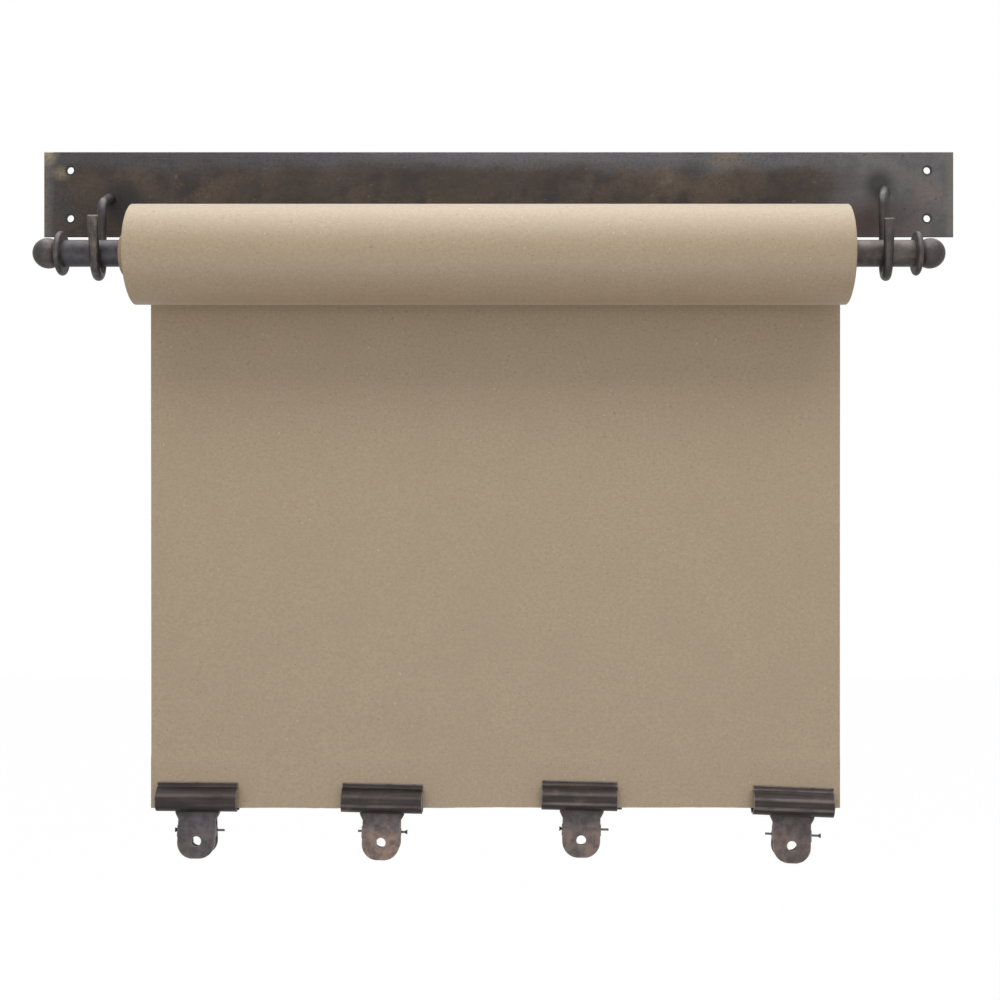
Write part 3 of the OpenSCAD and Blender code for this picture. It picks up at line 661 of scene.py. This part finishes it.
wire_r, wire_sides, coil_r, coil_pitch, coil_turns, degrees_per_step = 0.0006, 12, 0.002707, 0.0019, 5, 12
tab_slope, wire_leg, wire_leg_steps = 10, 0.013, 8
coil_sweep = 360 * coil_turns + 180 - 2 * tab_slope
coil_l = coil_pitch * coil_sweep / 360
coil_steps = round(coil_sweep / degrees_per_step)
line, headings = [], []
for k in range(coil_steps + 1):
    angle = math.radians(tab_slope + coil_sweep * k / coil_steps)
    line.append(Vector((coil_l * (k / coil_steps - 0.5), coil_r * math.cos(angle), coil_r * math.sin(angle))))
    heading = Vector((coil_pitch / (2 * math.pi * coil_r), -math.sin(angle), math.cos(angle)))
    headings.append(heading.normalized())
start, stop = math.radians(tab_slope), math.radians(tab_slope + coil_sweep)
first = Vector((0, -math.sin(start), math.cos(start)))
last = Vector((0, -math.sin(stop), math.cos(stop)))
legs = [wire_leg * k / wire_leg_steps for k in range(wire_leg_steps, 0, -1)]
line = [line[0] - first * d for d in legs] + line + [line[-1] + last * d for d in reversed(legs)]
headings = [first] * wire_leg_steps + headings + [last] * wire_leg_steps
for n, (x, z, tilt) in enumerate(clip_places, 1):
    dress(f"clip_{n}_pin", pin_steel)
    slant = math.radians(tilt)
    rings = []
    for at, heading in zip(line, headings):
        u = (Vector((1, 0, 0)) - heading.x * heading).normalized()
        v = heading.cross(u)
        ring = []
        for c, s in circle(wire_sides):
            q = at + wire_r * (c * u + s * v)
            ring.append((x + q.x * math.cos(slant) + q.z * math.sin(slant), sheet_y + q.y,
                         z - q.x * math.sin(slant) + q.z * math.cos(slant)))
        rings.append(ring)
    spring = loft(f"clip_spring_{n}", rings)
    spring.data.materials.append(spring_steel)
    reach = coil_l / 2
    x - reach * math.cos(slant)
    z + reach * math.sin(slant)
    x + reach * math.cos(slant)
    z - reach * math.sin(slant)
    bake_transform(spring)
    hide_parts(f"clip_{n}_spring")


# Studio: a pale floor below the sheet's longest reach, a white surround that is brighter behind, as a white
# wall is, a soft lamp above in front, and a weaker one low in front that fills the roll's shadow. A top lamp
# and a low strip only draw lines of gloss on paper and round iron. The camera stands straight before it.

def seen_directly(point):
    """1 for rays from the camera, from a gloss or through glass, which see plain white."""
    seen = point.node("LightPath", out="Is Camera Ray")
    glossy, through = (Wire(point.tree, seen.socket.node.outputs[name])
                       for name in ("Is Glossy Ray", "Is Transmission Ray"))
    return point.math("MINIMUM", seen + glossy + through, 1)


scene = bpy.context.scene
scene.view_settings.view_transform = "Standard"
surround = bpy.data.worlds.new("surround")
scene.world = surround
surround.use_nodes = True
surround.node_tree.nodes.clear()
w = Wire(surround.node_tree)
_, backward, _ = axes(w.node("TexCoord", out="Generated"))
light = w.node("Background", {}, {"Color": (1, 1, 1, 1), "Strength": 0.37 + 0.45 * rise(backward, -0.5, 0.5)})
white = w.node("Background", {}, {"Color": (1, 1, 1, 1), "Strength": 1.0})
w.node("OutputWorld", {}, {"Surface": w.node("MixShader", {}, {
    "Fac": seen_directly(w), "Shader": light, "Shader_001": white})})

floor_z, floor_half = -1.18, 6.0
floor = bpy.data.objects.new("floor", bpy.data.meshes.new("floor"))
corners = [(x * floor_half, y * floor_half, floor_z) for x, y in ((-1, -1), (1, -1), (1, 1), (-1, 1))]
floor.data.from_pydata(corners, [], [(0, 1, 2, 3)])
scene.collection.objects.link(floor)
floor_paint, p = new_finish("floor_paint")
plain = p.node("BsdfDiffuse", {}, {"Color": (0.72, 0.72, 0.72, 1), "Roughness": 0.5})
bright = p.node("Emission", {}, {"Color": (1, 1, 1, 1), "Strength": 1.06})
p.node("OutputMaterial", {}, {"Surface": p.node("MixShader", {}, {
    "Fac": 0.90 * seen_directly(p), "Shader": plain, "Shader_001": bright})})
floor.data.materials.append(floor_paint)

for name, wide, deep, watts, place, aim, gloss_only in (
        ("key", 1.8, 0.6, 14, (0.05, -1.00, 1.22), (0, -0.05, -0.15), False),
        ("fill", 2.4, 1.2, 6.2, (0, -2.00, -0.45), (0, -0.05, -0.25), False),
        ("top", 2.2, 1.5, 44, (0, 0.10, 1.25), (0, -0.06, -0.20), True),
        ("low_strip", 1.8, 0.10, 3, (0, -0.95, -0.68), (0, -0.06, -0.20), True)):
    lamp = bpy.data.lights.new(name, "AREA")
    lamp.shape, lamp.size, lamp.size_y, lamp.energy = "RECTANGLE", wide, deep, watts
    hung = bpy.data.objects.new(name, lamp)
    hung.location = place
    hung.rotation_euler = (Vector(aim) - Vector(place)).to_track_quat("-Z", "Y").to_euler()
    hung.visible_camera = False
    hung.visible_diffuse = not gloss_only
    scene.collection.objects.link(hung)

picture_px, sensor_mm, focal_px, middle_x, middle_y = 1000, 36, 1560, 545, 480
plate_px_x, plate_px_y, plate_scale = 498.7, 194.4, 0.000894
camera_data = bpy.data.cameras.new("camera")
camera_data.sensor_width = sensor_mm
camera_data.lens = focal_px * sensor_mm / picture_px
camera_data.shift_x = (picture_px / 2 - middle_x) / picture_px
camera_data.shift_y = (middle_y - picture_px / 2) / picture_px
camera_data.clip_end = 50
camera = bpy.data.objects.new("camera", camera_data)
camera.location = ((middle_x - plate_px_x) * plate_scale, plate_low.y - focal_px * plate_scale,
                   (plate_px_y - middle_y) * plate_scale)
camera.rotation_euler = (math.radians(90), 0, 0)
scene.collection.objects.link(camera)
scene.camera = camera
